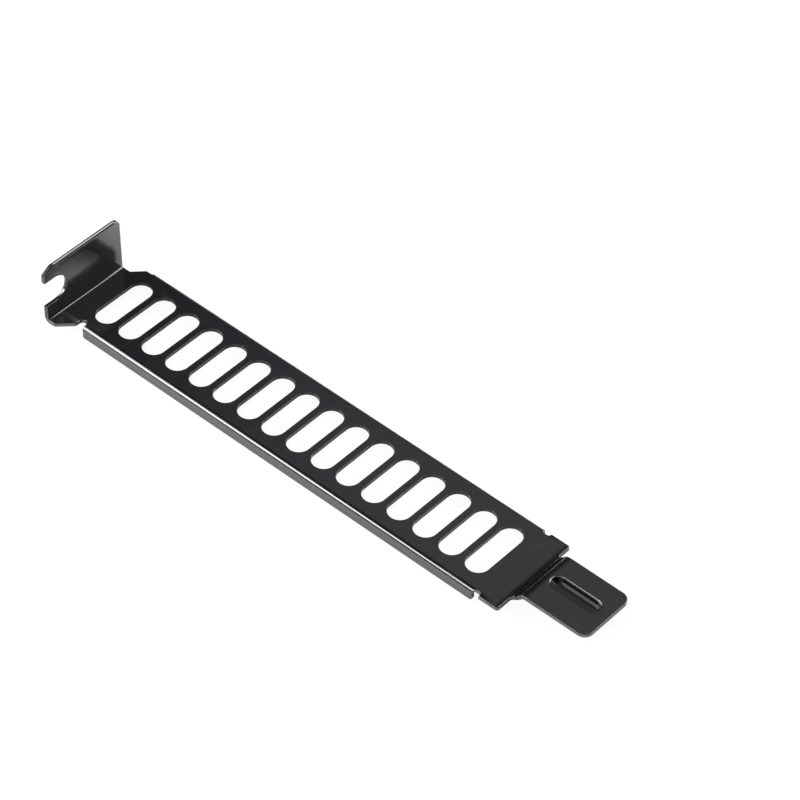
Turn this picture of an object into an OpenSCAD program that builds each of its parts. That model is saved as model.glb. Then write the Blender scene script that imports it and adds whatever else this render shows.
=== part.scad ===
// Slotted slot cover: one folded steel sheet with a screw tab, two side flanges and a stepped tongue.
// X runs from the screw tab to the tongue, Y runs across the cover and Z points out of its outer face.
// The origin is on the outer face, in the middle of the row of slots.

/* [Sheet] */
// Thickness of the steel sheet
sheet_t = 0.8; // [0.6:0.1:1.2]
// Radius on the inside of the screw tab's fold
tab_fold_r = 0.3; // [0.2:0.1:0.8]
// Radius on the inside of the flange folds
flange_fold_r = 0.2; // [0.2:0.1:0.8]
// Radius on the inside of the two folds that step the tongue
step_fold_r = 0.4; // [0.2:0.1:0.8]

/* [Cover plate] */
// Width over the flanges
cover_w = 18.8; // [16:0.1:20]
// Length from the screw tab's seat to the end of the shoulders
cover_l = 103.5; // [80:0.05:130]
// Length of the shoulders past the flange ends and their reliefs
shoulder_l = 4.15; // [2.5:0.05:6]
// Distance that the shoulder away from the tab's overhang is set in from the flange
shoulder_inset = 0.4; // [0.1:0.1:1]
// Radius of the shoulders' outer corners
shoulder_r = 0.3; // [0.2:0.1:1]

/* [Slots] */
// Number of slots
slot_count = 16; // [2:1:18]
// Width of a slot, along the cover
slot_w = 4.5; // [2:0.1:4.8]
// Distance from the side of the cover to the rounded end of a slot
slot_side = 3.1; // [2:0.1:5]
// Distance from the screw tab's seat to the middle of the first slot
slot_first = 6.9; // [6:0.1:12]
// Distance from the middle of the last slot to the end of the shoulders
slot_last = 9; // [8:0.05:14]

/* [Flanges] */
// Height of the flanges, from the outer face to their lower edge
flange_h = 2.6; // [2:0.1:6]
// Radius of the corners at the ends of a flange
flange_corner_r = 0.5; // [0.2:0.1:0.9]
// Distance from the screw tab's seat to the flange under the tab's overhang
flange_start = 5.8; // [5:0.1:9]
// Distance from the screw tab's seat to the other flange
far_flange_start = 5.3; // [5:0.1:9]

/* [Screw tab] */
// Width of the screw tab
tab_w = 18.6; // [14:0.05:22]
// Height of the screw tab above the outer face
tab_h = 11.6; // [10:0.1:16]
// Distance that the screw tab overhangs the side of the cover
tab_overhang = 2.7; // [1.5:0.1:4]
// Radius of the upper corner away from the overhang
tab_corner_r = 1.3; // [0.5:0.1:3]
// Length of the corner cut over the overhang, across the tab
tab_cut_y = 1.9; // [0.5:0.1:3]
// Height of the corner cut over the overhang
tab_cut_z = 1.05; // [0.3:0.05:2]

/* [Screw notch] */
// Width of the open notch for the fixing screw
notch_w = 5.5; // [4:0.1:6]
// Depth of the notch from the side of the tab
notch_depth = 5.1; // [4:0.1:8]
// Height of the middle of the notch above the outer face
notch_z = 5.85; // [4.5:0.05:7]

/* [Neck] */
// Straight length beside the fold on the overhang side
neck_l = 1.6; // [1.2:0.1:2.5]
// Straight length beside the fold on the other side
far_neck_l = 1.8; // [1.2:0.1:2.5]

/* [Reliefs] */
// Width of the relief between the neck and the flange
neck_relief_w = 1.5; // [1:0.1:2]
// Depth of that relief from the side of the cover
neck_relief_depth = 1.6; // [1.2:0.1:2.5]
// Distance that the plate is set in from the side, between the neck and the other flange
far_relief_depth = 0.75; // [0.4:0.05:1]
// Width of the reliefs between the flanges and the shoulders
end_relief_w = 1.65; // [1.3:0.05:3]
// Depth of the reliefs between the flanges and the shoulders
end_relief_depth = 0.6; // [0.6:0.05:1.5]
// Radius in the corners of the reliefs between the flanges and the shoulders
end_relief_r = 0.5; // [0.1:0.05:0.6]
// Radius where the shoulders meet the tongue
tongue_relief_r = 0.6; // [0.3:0.1:1.2]

/* [Tongue] */
// Width of the tongue
tongue_w = 11.7; // [8:0.1:15]
// Length of the tongue past the end of the shoulders
tongue_l = 15.7; // [15.4:0.05:24]
// Height of the tongue's face above the outer face
tongue_rise = 1.75; // [1:0.05:3]
// Slope of the step between the cover and the tongue
step_angle = 45; // [35:1:60]
// Radius of the tongue's corners
tongue_corner_r = 1.8; // [0.5:0.1:4]

/* [Pressed rib] */
// Length of the rib pressed into the tongue
rib_l = 10.6; // [6:0.1:11]
// Width of the rib
rib_w = 3.7; // [3:0.1:4.2]
// Slope of the rib's floor, from its fold down to its steep wall
rib_angle = 17.5; // [12:0.5:20]
// Radius on the inside of the rib's fold
rib_fold_r = 0.4; // [0.2:0.1:0.8]
// Thickness of the rib's steep wall
rib_wall = 0.3; // [0.2:0.05:0.5]
// Distance from the rib to the end of the tongue
rib_end = 2.05; // [1.5:0.05:4]
// Distance of the rib's middle from the middle of the tongue
rib_side = 0.15; // [0:0.05:1]

/* [Hidden] */
$fn = 96;
coat = [0.09, 0.09, 0.095];
lap = 0.5;                                    // overlap between lengths of the same sheet
past = 1;                                     // how far a cutter runs past what it cuts
slot_row_l = cover_l - slot_first - slot_last;
slot_pitch = slot_row_l / (slot_count - 1);
tab_x = -slot_first - slot_row_l / 2;         // the seat, which is the tab's face towards the tongue
shoulder_x = tab_x + cover_l;
tongue_end_x = shoulder_x + tongue_l;
flange_end_x = shoulder_x - shoulder_l - end_relief_w;
side_y = cover_w / 2;
far_shoulder_y = side_y - shoulder_inset;
slot_l = cover_w - 2 * slot_side;
tab_near_y = -side_y - tab_overhang;
tab_far_y = tab_near_y + tab_w;
flange_out_r = flange_fold_r + sheet_t;
flat_y = side_y - flange_out_r;               // where the flat sheet ends and the flange folds begin
// The step: a hollow fold, a straight slope and a crowned fold
step_out_r = step_fold_r + sheet_t;
slope_l = (tongue_rise - (step_fold_r + step_out_r) * (1 - cos(step_angle))) / sin(step_angle);
rib_fold_y = rib_side - rib_w / 2;
rib_x = tongue_end_x - rib_end - rib_l / 2;

// Stadium of length l along X and width w, with its middle at the origin
module stadium(l, w) {
    square([l - w, w], center = true);
    for (end = [-1, 1]) translate([end * (l - w) / 2, 0]) circle(d = w);
}

// Ring sector of inner radius r and one sheet thickness, from angle a0 through a turn under 180
module fold(r, a0, turn) {
    reach = 2 * (r + sheet_t);
    intersection() {
        difference() {
            circle(r = r + sheet_t);
            circle(r = r);
        }
        polygon([[0, 0], reach * [cos(a0), sin(a0)],
                 reach * [cos(a0 + turn / 2), sin(a0 + turn / 2)],
                 reach * [cos(a0 + turn), sin(a0 + turn)]]);
    }
}

// Fold in a sheet that lies under the X axis, up or down, with the children drawn on from its end
module turn(r, angle, up) {
    middle = up > 0 ? r : -r - sheet_t;
    translate([0, middle]) {
        fold(r, up > 0 ? -90 : 90 - angle, angle);
        rotate(up * angle) translate([0, -middle]) children();
    }
}

// Square corner of side r with its point at the origin, less the round that replaces it
module corner_waste(r) {
    difference() {
        translate([-past, -past]) square(r + past);
        translate([r, r]) circle(r = r);
    }
}

// Open cut of width w from the origin towards +Y, with corners of radius r at its closed end
module relief(w, r) {
    difference() {
        translate([-w / 2, 0]) square([w, side_y]);
        for (end = [0, 1]) mirror([end, 0]) translate([-w / 2, 0]) corner_waste(r);
    }
}

// Lengthwise section of the tab, the plate, the step and the tongue
module long_section() {
    translate([tab_x - sheet_t, tab_fold_r]) square([sheet_t, tab_h - tab_fold_r]);
    translate([tab_x + tab_fold_r, tab_fold_r]) fold(tab_fold_r, 180, 90);
    translate([tab_x + tab_fold_r, -sheet_t]) square([cover_l - tab_fold_r, sheet_t]);
    translate([shoulder_x, 0]) turn(step_fold_r, step_angle, 1) {
        translate([0, -sheet_t]) square([slope_l, sheet_t]);
        translate([slope_l, 0]) turn(step_fold_r, step_angle, -1)
            translate([0, -sheet_t]) square([tongue_l, sheet_t]);
    }
}

// Neck from the tab to the start of the flanges, with sides that slope at 45 degrees
module neck_outline() {
    far_y = side_y - far_relief_depth;
    slope_x = tab_x + neck_l + side_y + tab_overhang - flat_y;
    difference() {
        polygon([[tab_x - sheet_t - past, tab_near_y],
                 [tab_x + neck_l, tab_near_y],
                 [slope_x, -flat_y],
                 [tab_x + flange_start + lap, -flat_y],
                 [tab_x + flange_start + lap, flat_y],
                 [tab_x + far_flange_start, flat_y],
                 [tab_x + far_flange_start, far_y],
                 [tab_x + far_neck_l + far_y - tab_far_y, far_y],
                 [tab_x + far_neck_l, tab_far_y],
                 [tab_x - sheet_t - past, tab_far_y]]);
        translate([tab_x + flange_start - neck_relief_w / 2, -side_y + neck_relief_depth])
            mirror([0, 1]) relief(neck_relief_w, neck_relief_w / 2);
    }
}

// Shoulders beside the step and the reliefs before them
module shoulder_outline() {
    relief_x = flange_end_x + end_relief_w / 2;
    difference() {
        translate([flange_end_x, -side_y])
            square([shoulder_l + end_relief_w, cover_w - shoulder_inset]);
        translate([shoulder_x, -side_y]) rotate(90) corner_waste(shoulder_r);
        translate([shoulder_x, far_shoulder_y]) rotate(180) corner_waste(shoulder_r);
        translate([relief_x, -side_y + end_relief_depth]) mirror([0, 1]) relief(end_relief_w, end_relief_r);
        translate([relief_x, far_shoulder_y - end_relief_depth]) relief(end_relief_w, end_relief_r);
    }
}

// Tongue in plan, with rounded ends and a fillet where it leaves each shoulder
module tongue_outline() {
    difference() {
        translate([shoulder_x - lap, -tongue_w / 2]) square([tongue_l + lap, tongue_w]);
        for (side = [0, 1]) mirror([0, side])
            translate([tongue_end_x, -tongue_w / 2]) rotate(90) corner_waste(tongue_corner_r);
    }
    for (side = [-1, 1]) difference() {
        translate([shoulder_x - lap, side * (tongue_w + tongue_relief_r) / 2])
            square([2 * (lap + tongue_relief_r), tongue_relief_r], center = true);
        translate([shoulder_x + tongue_relief_r, side * (tongue_w / 2 + tongue_relief_r)])
            circle(r = tongue_relief_r);
    }
}

module plan_outline() {
    neck_outline();
    translate([tab_x + flange_start, -flat_y])
        square([flange_end_x + lap - tab_x - flange_start, 2 * flat_y]);
    shoulder_outline();
    tongue_outline();
}

// Section of the fold and the leg of the flange on the +Y side, in Y and Z
module flange_section() {
    translate([flat_y - lap, -sheet_t]) square([lap, sheet_t]);
    translate([flat_y, -flange_out_r]) fold(flange_fold_r, 0, 90);
    translate([side_y - sheet_t, -flange_h]) square([sheet_t, flange_h - flange_out_r]);
}

// Flange on the +Y side from x0 to x1, with its lower corners rounded
module flange(x0, x1) {
    difference() {
        translate([x0, 0, 0]) rotate([90, 0, 90]) linear_extrude(x1 - x0) flange_section();
        translate([0, side_y + past, 0]) rotate([90, 0, 0]) linear_extrude(sheet_t + 2 * past) {
            translate([x0, -flange_h]) corner_waste(flange_corner_r);
            translate([x1, -flange_h]) mirror([1, 0]) corner_waste(flange_corner_r);
        }
    }
}

// The row of slots, in plan
module slots() {
    for (i = [0 : slot_count - 1])
        translate([i * slot_pitch - slot_row_l / 2, 0]) rotate(90) stadium(slot_l, slot_w);
}

// The rib's sheet, folded down from the tongue, and what joins it to the tongue's underside, in Y and Z
module rib_section() {
    intersection() {
        translate([rib_fold_y, tongue_rise]) turn(rib_fold_r, rib_angle, -1)
            translate([0, -sheet_t]) square([rib_w + lap, 3 * sheet_t]);
        translate([rib_fold_y - lap, tongue_rise - 4 * sheet_t])
            square([rib_w + 2 * lap, 3.5 * sheet_t]);
    }
}

// The hollow over the rib's floor, in Y and Z
module rib_hollow_section() {
    translate([rib_fold_y, tongue_rise]) difference() {
        translate([0, -2 * sheet_t]) square([rib_w + past, 2 * sheet_t + past]);
        translate([0, -rib_fold_r - sheet_t]) circle(r = rib_fold_r + sheet_t);
        turn(rib_fold_r, rib_angle, -1)
            translate([0, -3 * sheet_t]) square([rib_w + 2 * past, 3 * sheet_t]);
    }
}

// A section in Y and Z, drawn along the rib and trimmed to its outline grown by a margin
module along_rib(margin) {
    intersection() {
        translate([rib_x - rib_l, 0, 0]) rotate([90, 0, 90]) linear_extrude(2 * rib_l) children();
        translate([rib_x, rib_side, -flange_h]) linear_extrude(flange_h + tongue_rise + 2 * past)
            stadium(rib_l + 2 * margin, rib_w + 2 * margin);
    }
}

// The open screw notch, the cut corner and the rounded corner of the tab, in Y and Z
module tab_cuts() {
    notch_r = notch_w / 2;
    translate([tab_near_y + notch_depth - notch_r, notch_z]) circle(r = notch_r);
    translate([tab_near_y - past, notch_z - notch_r])
        square([notch_depth - notch_r + past, notch_w]);
    polygon([[tab_near_y, tab_h - tab_cut_z], [tab_near_y + tab_cut_y, tab_h],
             [tab_near_y + tab_cut_y, tab_h + past], [tab_near_y - past, tab_h + past],
             [tab_near_y - past, tab_h - tab_cut_z]]);
    translate([tab_far_y, tab_h]) rotate(180) corner_waste(tab_corner_r);
}

module slot_cover() {
    color(coat) difference() {
        union() {
            intersection() {
                translate([0, side_y + tab_w, 0]) rotate([90, 0, 0])
                    linear_extrude(2 * (side_y + tab_w)) long_section();
                translate([0, 0, -past - sheet_t])
                    linear_extrude(tab_h + sheet_t + 2 * past) plan_outline();
            }
            flange(tab_x + far_flange_start, flange_end_x);
            mirror([0, 1, 0]) flange(tab_x + flange_start, flange_end_x);
            along_rib(rib_wall) rib_section();
        }
        translate([0, 0, -past - sheet_t]) linear_extrude(sheet_t + 2 * past) slots();
        translate([tab_x - sheet_t - past, 0, 0]) rotate([90, 0, 90])
            linear_extrude(sheet_t + 2 * past) tab_cuts();
        along_rib(0) rib_hollow_section();
    }
}

slot_cover();
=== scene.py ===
from math import cos, radians, sin, tan

import bmesh
import bpy
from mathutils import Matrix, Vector


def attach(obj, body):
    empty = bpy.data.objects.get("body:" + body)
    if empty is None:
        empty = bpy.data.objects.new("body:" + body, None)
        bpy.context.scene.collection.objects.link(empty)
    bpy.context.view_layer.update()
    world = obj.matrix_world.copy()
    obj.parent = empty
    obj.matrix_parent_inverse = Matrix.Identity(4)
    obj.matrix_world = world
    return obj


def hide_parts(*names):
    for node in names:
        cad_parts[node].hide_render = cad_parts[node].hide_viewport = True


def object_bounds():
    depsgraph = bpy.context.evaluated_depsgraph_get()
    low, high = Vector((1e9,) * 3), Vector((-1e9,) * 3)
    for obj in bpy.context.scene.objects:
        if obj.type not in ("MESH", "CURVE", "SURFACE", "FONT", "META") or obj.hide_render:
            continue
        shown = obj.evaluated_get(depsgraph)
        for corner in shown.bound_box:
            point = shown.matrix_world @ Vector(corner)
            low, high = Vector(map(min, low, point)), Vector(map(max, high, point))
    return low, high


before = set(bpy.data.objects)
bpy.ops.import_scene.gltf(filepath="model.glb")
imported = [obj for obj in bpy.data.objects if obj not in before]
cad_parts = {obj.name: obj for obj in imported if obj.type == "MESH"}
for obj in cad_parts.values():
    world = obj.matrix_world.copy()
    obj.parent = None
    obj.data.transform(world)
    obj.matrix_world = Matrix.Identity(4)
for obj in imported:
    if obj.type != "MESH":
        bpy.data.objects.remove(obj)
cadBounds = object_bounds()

scene = bpy.context.scene
scene.view_settings.view_transform = "Standard"
lowest, highest = (Vector(corner) * 1000 for corner in cadBounds)      # in millimetres
print("solids loaded")


# What runs through a material's nodes, so that shader maths reads as plain expressions
class Wire:
    def __init__(self, shader, socket):
        self.shader = shader
        self.socket = socket

    def __add__(self, other):
        return self.shader.maths("ADD", self, other)

    def __sub__(self, other):
        return self.shader.maths("SUBTRACT", self, other)

    def __rsub__(self, other):
        return self.shader.maths("SUBTRACT", other, self)

    def __mul__(self, other):
        return self.shader.maths("MULTIPLY", self, other)

    __radd__ = __add__
    __rmul__ = __mul__


class Shader:
    def __init__(self, holder):
        self.holder = holder
        holder.use_nodes = True
        self.tree = holder.node_tree
        self.tree.nodes.clear()

    # Settings are set first, then the sockets take a value or a link
    def node(self, kind, settings=None, sockets=None, output=0):
        made = self.tree.nodes.new(kind)
        for name, value in (settings or {}).items():
            setattr(made, name, value)
        for name, value in (sockets or {}).items():
            if isinstance(value, Wire):
                self.tree.links.new(value.socket, made.inputs[name])
            else:
                made.inputs[name].default_value = value
        return Wire(self, made.outputs[output])

    def maths(self, operation, *values):
        return self.node("ShaderNodeMath", {"operation": operation}, dict(enumerate(values)))

    # How far a value has gone from one level to another, from 0 to 1 and eased
    def between(self, value, low, high):
        return self.node("ShaderNodeMapRange", {"interpolation_type": "SMOOTHSTEP"},
                         {"Value": value, "From Min": low, "From Max": high})

    def blend(self, factor, first, second):
        return self.node("ShaderNodeMix", {"data_type": "RGBA"},
                         {0: factor, 6: first, 7: second}, output=2)

    def noise(self, place, scale, detail=2.0):
        return self.node("ShaderNodeTexNoise", None,
                         {"Vector": place, "Scale": scale, "Detail": detail, "Roughness": 0.55})

    def finish(self, surface, kind="Material"):
        end = self.tree.nodes.new("ShaderNodeOutput" + kind)
        self.tree.links.new(surface.socket, end.inputs["Surface"])
        return self.holder


# The sheet as it is cut and folded, in millimetres and degrees
coverSheet = {
    "thickness": 0.8,
    "width": 18.8,
    "seatX": -50.7,             # face of the screw tab towards the tongue
    "shoulderEnd": 52.8,
    "stepEnd": 56.2,            # where the tongue is level again
    "shoulderInset": 0.4,
    "shoulderBulge": 0.22,
    "shoulderCorner": 0.5,
    "slotCount": 16,
    "slotWidth": 4.5,
    "slotPitch": 5.84,
    "slotSide": 3.1,
    "tabWidth": 18.6,
    "tabCorner": 1.3,
    "tabCutAcross": 1.9,
    "tabCutDown": 1.05,
    "notchWidth": 5.5,
    "notchDepth": 5.1,
    "notchHeight": 5.85,
    "neck": 1.6,
    "neckCorner": 0.4,
    "farNeck": 1.8,
    "flangeStart": 5.8,
    "farFlangeStart": 5.3,
    "flangeEnd": 47.0,
    "flangeCorner": 0.5,
    "flangeFade": 0.4,          # length over which a flange's fold comes in at its ends
    "neckReliefWidth": 1.5,
    "neckReliefDepth": 1.6,
    "farReliefDepth": 0.75,
    "endReliefWidth": 1.65,
    "endReliefDepth": 0.6,
    "endReliefCorner": 0.5,
    "tongueWidth": 11.7,
    "tongueRise": 1.75,
    "tongueCorner": 1.8,
    "tongueFillet": 0.6,
    "stepAngle": 45,
    "ribLength": 10.6,
    "ribWidth": 3.7,
    "ribEnd": 2.05,
    "ribMiddle": 0.15,
    "ribRings": 9,              # steps in the curve of the rib's wall
    "ribSlope": 19,
    "ribFold": 2.5,             # outer radius of the rib's soft fold
    "ribWall": 0.3,             # thickness of its steep wall
    "ribWallRun": 0.4,          # how far in the wall reaches its foot
    "tabFold": 0.3,             # radii on the inner sides of the folds
    "flangeFold": 0.2,
    "easeFold": 9,              # the step starts with a slight bend
    "easeAngle": 7,             # and ends with one
    "hollowFold": 1.3,
    "crownFold": 0.25,
    "upperRim": 0.12,           # rounding of the sheared edges
    "lowerRim": 0.15,
    "slotUpperRim": 0.04,
    "slotLowerRim": 0.2,
    "tabTopRim": 0.5,
    "tabSideRim": 0.25,
    "wallUp": 0.4,              # limits on a cut wall's normal: how far it may point up,
    "wallDown": -0.95,          # or down inside the slots,
    "wallAlong": 0.3,           # or along the cover round the tab
}
sheet = coverSheet["thickness"]
splitY = coverSheet["ribMiddle"]            # the blank is drawn as two halves that meet here


# Length of the middle of the sheet round a fold
def foldLength(radius, angle):
    return (radius + sheet / 2) * radians(angle)


# Where the sheet goes round a fold: distance past its start, height from the middle of the sheet
def foldPoint(past, height, radius, angle, up):
    if past <= 0:
        return past, height
    middle = radius + sheet / 2
    turned = min(past / middle, radians(angle))
    rest = max(past - foldLength(radius, angle), 0)
    reach = middle - up * height
    return (reach * sin(turned) + rest * cos(turned),
            up * (middle - reach * cos(turned) + rest * sin(turned)))


sideY = coverSheet["width"] / 2
flangeRadius = coverSheet["flangeFold"]
flangeLine = sideY - flangeRadius - sheet
flangeEdge = flangeLine + foldLength(flangeRadius, 90) - lowest.z - flangeRadius - sheet
tabLine = coverSheet["seatX"] + coverSheet["tabFold"]
tabNear = lowest.y
tabFar = tabNear + coverSheet["tabWidth"]
stepFolds = (                               # radius, angle and whether the sheet turns up
    (coverSheet["easeFold"], coverSheet["easeAngle"], 1),
    (coverSheet["hollowFold"], coverSheet["stepAngle"] - coverSheet["easeAngle"], 1),
    (coverSheet["crownFold"], coverSheet["stepAngle"] - coverSheet["easeAngle"], -1),
    (coverSheet["easeFold"], coverSheet["easeAngle"], -1),
)


# Where each of the step's folds starts, with a straight slope between the second and the third
def foldStarts(slope):
    starts = [0]
    for i, (radius, angle, up) in enumerate(stepFolds[:-1]):
        starts.append(starts[-1] + foldLength(radius, angle) + (slope if i == 1 else 0))
    return starts


# Where the sheet goes over the step: distance past its start and height
def stepPoint(past, height, slope):
    for start, (radius, angle, up) in reversed([*zip(foldStarts(slope), stepFolds)]):
        past, height = foldPoint(past - start, height, radius, angle, up)
        past += start
    return past, height


stepLength = sum(foldLength(radius, angle) for radius, angle, up in stepFolds)
shortRise = stepPoint(stepLength, 0, 0)[1]
slope = (coverSheet["tongueRise"] - shortRise) / sin(radians(coverSheet["stepAngle"]))
stepLength += slope
stepRun = stepPoint(stepLength, 0, slope)[0]
stepStart = coverSheet["stepEnd"] - stepRun
tongueEnd = stepStart + stepLength + highest.x - coverSheet["stepEnd"]
shoulderEnd = coverSheet["shoulderEnd"]
ribRight = tongueEnd - coverSheet["ribEnd"]
ribLeft = ribRight - coverSheet["ribLength"]
ribRadius = coverSheet["ribWidth"] / 2
ribHinge = coverSheet["ribMiddle"] - ribRadius


# Place on the flat blank of a height up the screw tab
def tabPlace(height):
    return tabLine - foldLength(coverSheet["tabFold"], 90) - (height - coverSheet["tabFold"])


tabTop = tabPlace(highest.z - coverSheet["tabCutDown"]) + 0.01


# A flat face from corners of X, Y and corner radius
def flatFace(mesh, corners):
    points = [mesh.verts.new((x, y, 0)) for x, y, radius in corners]
    mesh.faces.new(points)
    for size in sorted({radius for x, y, radius in corners if radius}):
        rounded = [point for point, corner in zip(points, corners) if corner[2] == size]
        bmesh.ops.bevel(mesh, geom=rounded, offset=size, segments=max(5, round(9 * size ** 0.5)),
                        profile=0.5, affect="VERTICES", material=-1, clamp_overlap=False)


# The slots' halves along the split, on one side of it
def slotCorners(side):
    half = coverSheet["slotWidth"] / 2
    end = side * (sideY - coverSheet["slotSide"])
    corners = []
    for i in range(coverSheet["slotCount"]):
        x = (i - (coverSheet["slotCount"] - 1) / 2) * coverSheet["slotPitch"]
        corners += [(x - half, splitY, 0), (x - half, end, half), (x + half, end, half),
                    (x + half, splitY, 0)]
    return corners


# The rib's half of its outline on one side of the split
def ribCorners(side):
    end = splitY + side * ribRadius
    return [(ribLeft, splitY, 0), (ribLeft, end, ribRadius), (ribRight, end, ribRadius),
            (ribRight, splitY, 0)]


def nearHalf(mesh):
    s = coverSheet
    reliefRight = s["seatX"] + s["flangeStart"]
    reliefLeft = reliefRight - s["neckReliefWidth"]
    reliefY = -sideY + s["neckReliefDepth"]
    neckX = s["seatX"] + s["neck"]
    endReliefX = s["flangeEnd"] + s["endReliefWidth"]
    endReliefY = -sideY + s["endReliefDepth"]
    lipLow = tabPlace(s["notchHeight"] - s["notchWidth"] / 2)
    lipHigh = tabPlace(s["notchHeight"] + s["notchWidth"] / 2)
    flatFace(mesh, [
        (tongueEnd, splitY, 0),
        (tongueEnd, -s["tongueWidth"] / 2, s["tongueCorner"]),
        (shoulderEnd, -s["tongueWidth"] / 2, s["tongueFillet"]),
        (shoulderEnd, -sideY - s["shoulderBulge"], s["shoulderCorner"]),
        (endReliefX, -sideY - s["shoulderBulge"], 0),
        (endReliefX, endReliefY, s["endReliefCorner"]),
        (s["flangeEnd"], endReliefY, s["endReliefCorner"]),
        (s["flangeEnd"], -flangeEdge, s["flangeCorner"]),
        (reliefRight, -flangeEdge, s["flangeCorner"]),
        (reliefRight, reliefY, s["neckReliefWidth"] / 2),
        (reliefLeft, reliefY, s["neckReliefWidth"] / 2),
        (reliefLeft, tabNear + reliefLeft - neckX, s["neckCorner"]),
        (neckX, tabNear, s["neckCorner"]),
        (lipLow, tabNear, 0),
        (lipLow, tabNear + s["notchDepth"], s["notchWidth"] / 2),
        (lipHigh, tabNear + s["notchDepth"], s["notchWidth"] / 2),
        (lipHigh, tabNear, 0),
        (tabPlace(highest.z - s["tabCutDown"]), tabNear, 0),
        (tabPlace(highest.z), tabNear + s["tabCutAcross"], 0),
        (tabPlace(highest.z), splitY, 0),
        *slotCorners(-1),
        *ribCorners(-1),
    ])


def farHalf(mesh):
    s = coverSheet
    flangeX = s["seatX"] + s["farFlangeStart"]
    neckX = s["seatX"] + s["farNeck"]
    neckY = sideY - s["farReliefDepth"]
    shoulderY = sideY - s["shoulderInset"]
    endReliefX = s["flangeEnd"] + s["endReliefWidth"]
    endReliefY = shoulderY - s["endReliefDepth"]
    flatFace(mesh, [
        (tabPlace(highest.z), splitY, 0),
        (tabPlace(highest.z), tabFar, s["tabCorner"]),
        (neckX, tabFar, 0),
        (neckX + neckY - tabFar, neckY, 0),
        (flangeX, neckY, 0),
        (flangeX, flangeEdge, s["flangeCorner"]),
        (s["flangeEnd"], flangeEdge, s["flangeCorner"]),
        (s["flangeEnd"], endReliefY, s["endReliefCorner"]),
        (endReliefX, endReliefY, s["endReliefCorner"]),
        (endReliefX, shoulderY, 0),
        (shoulderEnd, shoulderY, s["shoulderCorner"]),
        (shoulderEnd, s["tongueWidth"] / 2, s["tongueFillet"]),
        (tongueEnd, s["tongueWidth"] / 2, s["tongueCorner"]),
        (tongueEnd, splitY, 0),
        *reversed(ribCorners(1)),
        *reversed(slotCorners(1)),
    ])


# Rounds the sheet's edges on its upper side, 1, or its lower side, -1, at places that pass a test
def roundRim(mesh, side, radius, chosen):
    mesh.normal_update()
    rim = [edge for edge in mesh.edges
           if all(vert.co.z * side > sheet / 2 - 0.001 and chosen(vert.co) for vert in edge.verts)
           and any(abs(face.normal.z) < 0.1 for face in edge.link_faces)]
    bmesh.ops.bevel(mesh, geom=rim, offset=radius, segments=3, profile=0.5, affect="EDGES",
                    material=-1, clamp_overlap=False)


# Cuts the faces along lines across X or Y, where all of a face's corners pass a test
def cutLines(mesh, axis, places, chosen=lambda place: True):
    for place in places:
        faces = [face for face in mesh.faces if all(chosen(vert.co) for vert in face.verts)]
        edges = {edge for face in faces for edge in face.edges}
        points = {vert for face in faces for vert in face.verts}
        bmesh.ops.bisect_plane(mesh, geom=[*points, *edges, *faces], dist=1e-5,
                               plane_co=Vector(axis) * place, plane_no=axis)


def steps(start, length, count):
    return [start + length * i / count for i in range(count + 1)]


# Distance in from the rib's outline, and the direction out of it
def ribInside(x, y):
    half = coverSheet["ribLength"] / 2 - ribRadius
    along = x - (ribLeft + ribRight) / 2
    out = Vector((max(abs(along) - half, 0) * (1 if along > 0 else -1), y - coverSheet["ribMiddle"]))
    return ribRadius - out.length, out.normalized()


# The sheet over the rib: a floor that slopes from a soft fold, and a wall with a rounded rim and foot
def pressRib(x, y, z):
    inside, out = ribInside(x, y)
    run = coverSheet["ribWallRun"]
    if inside < -0.01:
        return x, y, z
    rounding = min(max(inside / run, 0), 1)
    ribSlope = radians(coverSheet["ribSlope"])
    radius = coverSheet["ribFold"]
    past = y - ribHinge
    bend = radius * sin(ribSlope)
    if past < bend:
        drop = radius - (radius ** 2 - past ** 2) ** 0.5
    else:
        drop = radius * (1 - cos(ribSlope)) + (past - bend) * tan(ribSlope)
    if z < 0 and inside < run + 0.01:
        x += out.x * coverSheet["ribWall"]
        y += out.y * coverSheet["ribWall"]
    return x, y, z - drop * (1 - (1 - rounding ** 2) ** 0.5)


# Share of the flange folds at a place along the cover
def flangeShare(x, side):
    start = coverSheet["seatX"] + (coverSheet["farFlangeStart"] if side > 0 else coverSheet["flangeStart"])
    share = 1 + min(x - start, coverSheet["flangeEnd"] - x, 0) / coverSheet["flangeFade"]
    return max(share, 0)


def onTab(place):
    return tabTop < place.x < tabLine


def inSlots(place):
    inRow = abs(place.x) < coverSheet["slotCount"] * coverSheet["slotPitch"] / 2
    return inRow and abs(place.y) < sideY - coverSheet["slotSide"] + 0.01


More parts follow.
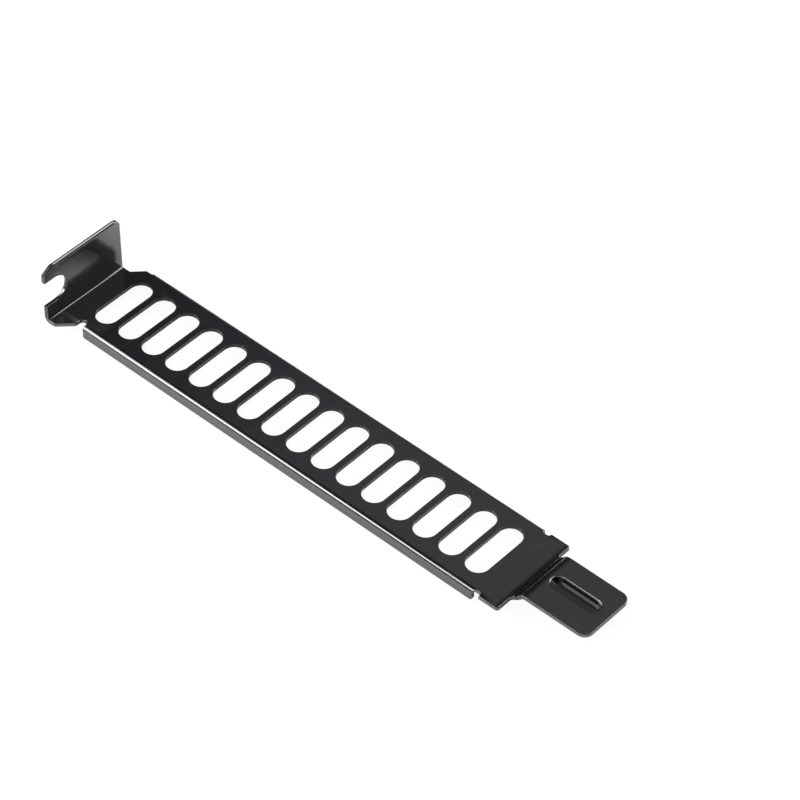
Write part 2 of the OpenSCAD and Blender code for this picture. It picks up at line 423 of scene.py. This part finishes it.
# The flat blank with its thickness and rims
def cutBlank(mesh):
    nearHalf(mesh)
    farHalf(mesh)
    flatFace(mesh, ribCorners(-1))
    flatFace(mesh, ribCorners(1))
    bmesh.ops.remove_doubles(mesh, verts=mesh.verts, dist=0.002)
    bmesh.ops.recalc_face_normals(mesh, faces=mesh.faces)
    rib = [face for face in mesh.faces
           if all(ribInside(vert.co.x, vert.co.y)[0] > -0.01 for vert in face.verts)]
    for ring in range(coverSheet["ribRings"]):
        bmesh.ops.inset_region(mesh, faces=rib, use_even_offset=True,
                               thickness=coverSheet["ribWallRun"] / coverSheet["ribRings"])
    shell = bmesh.ops.extrude_face_region(mesh, geom=mesh.faces[:], use_keep_orig=True)["geom"]
    bmesh.ops.translate(mesh, verts=[part for part in shell if isinstance(part, bmesh.types.BMVert)],
                        vec=(0, 0, -sheet))
    bmesh.ops.translate(mesh, verts=mesh.verts, vec=(0, 0, sheet / 2))
    bmesh.ops.recalc_face_normals(mesh, faces=mesh.faces)
    roundRim(mesh, 1, coverSheet["slotUpperRim"], inSlots)
    roundRim(mesh, 1, coverSheet["tabTopRim"], lambda place: place.x < tabTop)
    roundRim(mesh, 1, coverSheet["upperRim"], lambda place: place.x > tabTop and not inSlots(place))
    roundRim(mesh, -1, coverSheet["slotLowerRim"], inSlots)
    roundRim(mesh, -1, coverSheet["tabSideRim"], onTab)
    roundRim(mesh, -1, coverSheet["lowerRim"], lambda place: not inSlots(place) and not onTab(place))
    print("blank cut", len(mesh.faces))


# Lines across the blank where the folds will bend it
def cutFolds(mesh):
    tabArc = foldLength(coverSheet["tabFold"], 90)
    cutLines(mesh, (1, 0, 0), steps(tabLine - tabArc, tabArc, 8))
    for start, (radius, angle, up) in zip(foldStarts(slope), stepFolds):
        cutLines(mesh, (1, 0, 0), steps(stepStart + start, foldLength(radius, angle), 8))
    wallRun = coverSheet["ribWallRun"]
    cutLines(mesh, (0, 1, 0), steps(ribHinge + wallRun, coverSheet["ribWidth"] - 2 * wallRun, 12),
             lambda place: ribInside(place.x, place.y)[0] > wallRun - 0.01)
    for side in (-1, 1):
        cutLines(mesh, (0, side, 0), steps(flangeLine, foldLength(flangeRadius, 90), 9))
    fade = coverSheet["flangeFade"]
    for start in (coverSheet["flangeEnd"], coverSheet["seatX"] + coverSheet["farFlangeStart"] - fade):
        cutLines(mesh, (1, 0, 0), steps(start, fade, 4), lambda place: abs(place.y) > flangeLine - 0.001)
    print("fold lines cut", len(mesh.faces))


# Where a place on the blank comes to once the sheet is pressed and folded
def foldedPlace(x, y, z):
    if x > ribLeft - 1:
        x, y, z = pressRib(x, y, z)
    if x > stepStart:
        past, z = stepPoint(x - stepStart, z, slope)
        x = stepStart + past
    elif x < tabLine:
        past, z = foldPoint(tabLine - x, z, coverSheet["tabFold"], 90, 1)
        x = tabLine - past
    elif abs(y) > flangeLine:
        side = 1 if y > 0 else -1
        share = flangeShare(x, side)
        past, height = foldPoint(abs(y) - flangeLine, z, flangeRadius, 90, -1)
        y = side * (flangeLine + past * share + (abs(y) - flangeLine) * (1 - share))
        z = height * share + z * (1 - share)
    return Vector((x, y, z - sheet / 2))


# The cut walls inside the slots, with their lower rims, and those round the tab, without its top edge
def onCutWall(face):
    place = face.calc_center_median() * 1000
    facesUp = face.normal.z > coverSheet["wallUp"]
    if inSlots(place):
        return not facesUp and face.normal.z > coverSheet["wallDown"]
    onTabSide = place.x < tabLine and place.z > sheet
    return onTabSide and not facesUp and abs(face.normal.x) < coverSheet["wallAlong"]


def makeCover():
    mesh = bmesh.new()
    cutBlank(mesh)
    cutFolds(mesh)
    for vert in mesh.verts:
        vert.co = foldedPlace(*vert.co) / 1000
    bmesh.ops.recalc_face_normals(mesh, faces=mesh.faces)
    mesh.normal_update()
    for face in mesh.faces:
        face.smooth = True
        face.material_index = 1 if onCutWall(face) else 0
    for edge in mesh.edges:
        edge.smooth = edge.calc_face_angle(0) < radians(35)
    data = bpy.data.meshes.new("slot_cover_sheet")
    mesh.to_mesh(data)
    mesh.free()
    piece = bpy.data.objects.new("slot_cover_sheet", data)
    scene.collection.objects.link(piece)
    evened = piece.modifiers.new("even normals", "WEIGHTED_NORMAL")
    evened.keep_sharp = True
    evened.weight = 80
    return piece


# The black coat: smooth and semi-gloss, with a faint unevenness and a few dull scuffs
blackCoat = {
    "colour": (0.0038, 0.0028, 0.0042, 1),
    "wornColour": (0.0060, 0.0050, 0.0064, 1),
    "roughness": 0.15,
    "roughnessSpread": 0.04,
    "wornRoughness": 0.05,
    "refraction": 1.85,
    "wallRefraction": 1.44,     # of the duller coat on cut walls
    "peelScale": 1400,
    "peelHeight": 0.0000012,
    "waveScale": 110,
    "waveHeight": 0.00005,
    "patchScale": 260,          # size of the scuffed patches, and the noise levels that they fade in over
    "patchStart": 0.56,
    "patchFull": 0.78,
}


def makeCoat(name, refraction):
    shader = Shader(bpy.data.materials.new(name))
    place = shader.node("ShaderNodeTexCoord", output="Object")
    peel = shader.noise(place, blackCoat["peelScale"])
    wave = shader.noise(place, blackCoat["waveScale"])
    patches = shader.noise(place, blackCoat["patchScale"], 4.0)
    worn = shader.between(patches, blackCoat["patchStart"], blackCoat["patchFull"])
    roughness = (blackCoat["roughness"] + (patches - 0.5) * blackCoat["roughnessSpread"]
                 + worn * blackCoat["wornRoughness"])
    waves = shader.node("ShaderNodeBump", None, {"Height": wave, "Distance": blackCoat["waveHeight"]})
    grain = shader.node("ShaderNodeBump", None, {"Height": peel, "Distance": blackCoat["peelHeight"],
                                                 "Normal": waves})
    return shader.finish(shader.node("ShaderNodeBsdfPrincipled", None, {
        "Base Color": shader.blend(worn, blackCoat["colour"], blackCoat["wornColour"]),
        "Roughness": roughness,
        "IOR": refraction,
        "Normal": grain,
    }))


cover = makeCover()
cover.data.materials.append(makeCoat("black coat", blackCoat["refraction"]))
cover.data.materials.append(makeCoat("black coat on cut walls", blackCoat["wallRefraction"]))
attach(cover, "root")
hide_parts("slot_cover")
print("cover made", len(cover.data.polygons))


studio = {
    "floorColour": (0.92, 0.92, 0.92, 1),
    "floorWhite": 0.93,         # share of plain white in what the camera sees of the floor
    "dim": 0.035,               # the room away from the lamps
    "glows": {                  # direction, cosines of where it starts and is full, level
        "ceiling": ((0.05, 0.5, 0.86), 0.80, 0.87, 0.42),
        "overhead": ((0.08, 0.5, 0.86), 0.955, 0.985, 8.0),
        "right": ((0.5, 0.5, 0.7), 0.9, 0.97, 0.9),
        "back": ((-0.4, 0.8, 0.36), 0.9, 0.98, 0.2),
        "top": ((0.3, -0.45, 0.8), 0.88, 0.97, 2.0),
    },
    "lights": {                 # direction, distance, width and height in metres, power
        "left softbox": ((-0.75, -0.42, 0.5), 0.9, (0.95, 0.55), 12),
        "side strip": ((-0.2, -0.85, 0.5), 0.9, (0.95, 0.25), 5.5),
        "back softbox": ((0.5, 0.83, 0.3), 0.9, (0.5, 0.4), 5),
    },
}


def makeFloor():
    bpy.ops.mesh.primitive_plane_add(size=4, location=(0, 0, cadBounds[0].z))
    floor = bpy.context.object
    floor.name = "floor"
    shader = Shader(bpy.data.materials.new("pale floor"))
    seen = shader.node("ShaderNodeLightPath", output="Is Camera Ray")
    lit = shader.node("ShaderNodeBsdfDiffuse", None, {"Color": studio["floorColour"]})
    white = shader.node("ShaderNodeEmission", None, {"Strength": 1})
    floor.data.materials.append(shader.finish(shader.node("ShaderNodeMixShader", None, {
        0: seen * studio["floorWhite"], 1: lit, 2: white})))


# A dim room with soft glows, and plain white where the camera looks past the floor
def makeWorld():
    world = bpy.data.worlds.new("studio")
    scene.world = world
    world.use_nodes = True
    shader = Shader(world)
    direction = shader.node("ShaderNodeTexCoord", output="Generated")
    seen = shader.node("ShaderNodeLightPath", output="Is Camera Ray")
    level = studio["dim"] * (1 - seen) + seen
    for source, start, full, strength in studio["glows"].values():
        facing = shader.node("ShaderNodeVectorMath", {"operation": "DOT_PRODUCT"},
                             {0: direction, 1: Vector(source).normalized()}, output="Value")
        level = level + shader.between(facing, start, full) * (1 - seen) * strength
    shader.finish(shader.node("ShaderNodeBackground", None, {"Strength": level}), "World")


def makeLight(name, direction, distance, size, power):
    data = bpy.data.lights.new(name, "AREA")
    data.shape = "RECTANGLE"
    data.size, data.size_y = size
    data.energy = power
    lamp = bpy.data.objects.new(name, data)
    away = Vector(direction).normalized()
    lamp.location = away * distance
    lamp.rotation_mode = "QUATERNION"
    lamp.rotation_quaternion = away.to_track_quat("Z", "Y")
    scene.collection.objects.link(lamp)


makeFloor()
makeWorld()
for name, light in studio["lights"].items():
    makeLight(name, *light)
print("studio lit")


cameraPlace = {
    "location": (0.28655, -0.29449, 0.42354),
    "turn": (44.4834, -0.2563, 42.1434),      # degrees about X, Y and Z
    "lens": 153.88,
}


def makeCamera():
    data = bpy.data.cameras.new("camera")
    data.lens = cameraPlace["lens"]
    data.clip_start = 0.01
    data.clip_end = 20
    camera = bpy.data.objects.new("camera", data)
    camera.location = cameraPlace["location"]
    camera.rotation_euler = [radians(angle) for angle in cameraPlace["turn"]]
    scene.collection.objects.link(camera)
    scene.camera = camera


makeCamera()
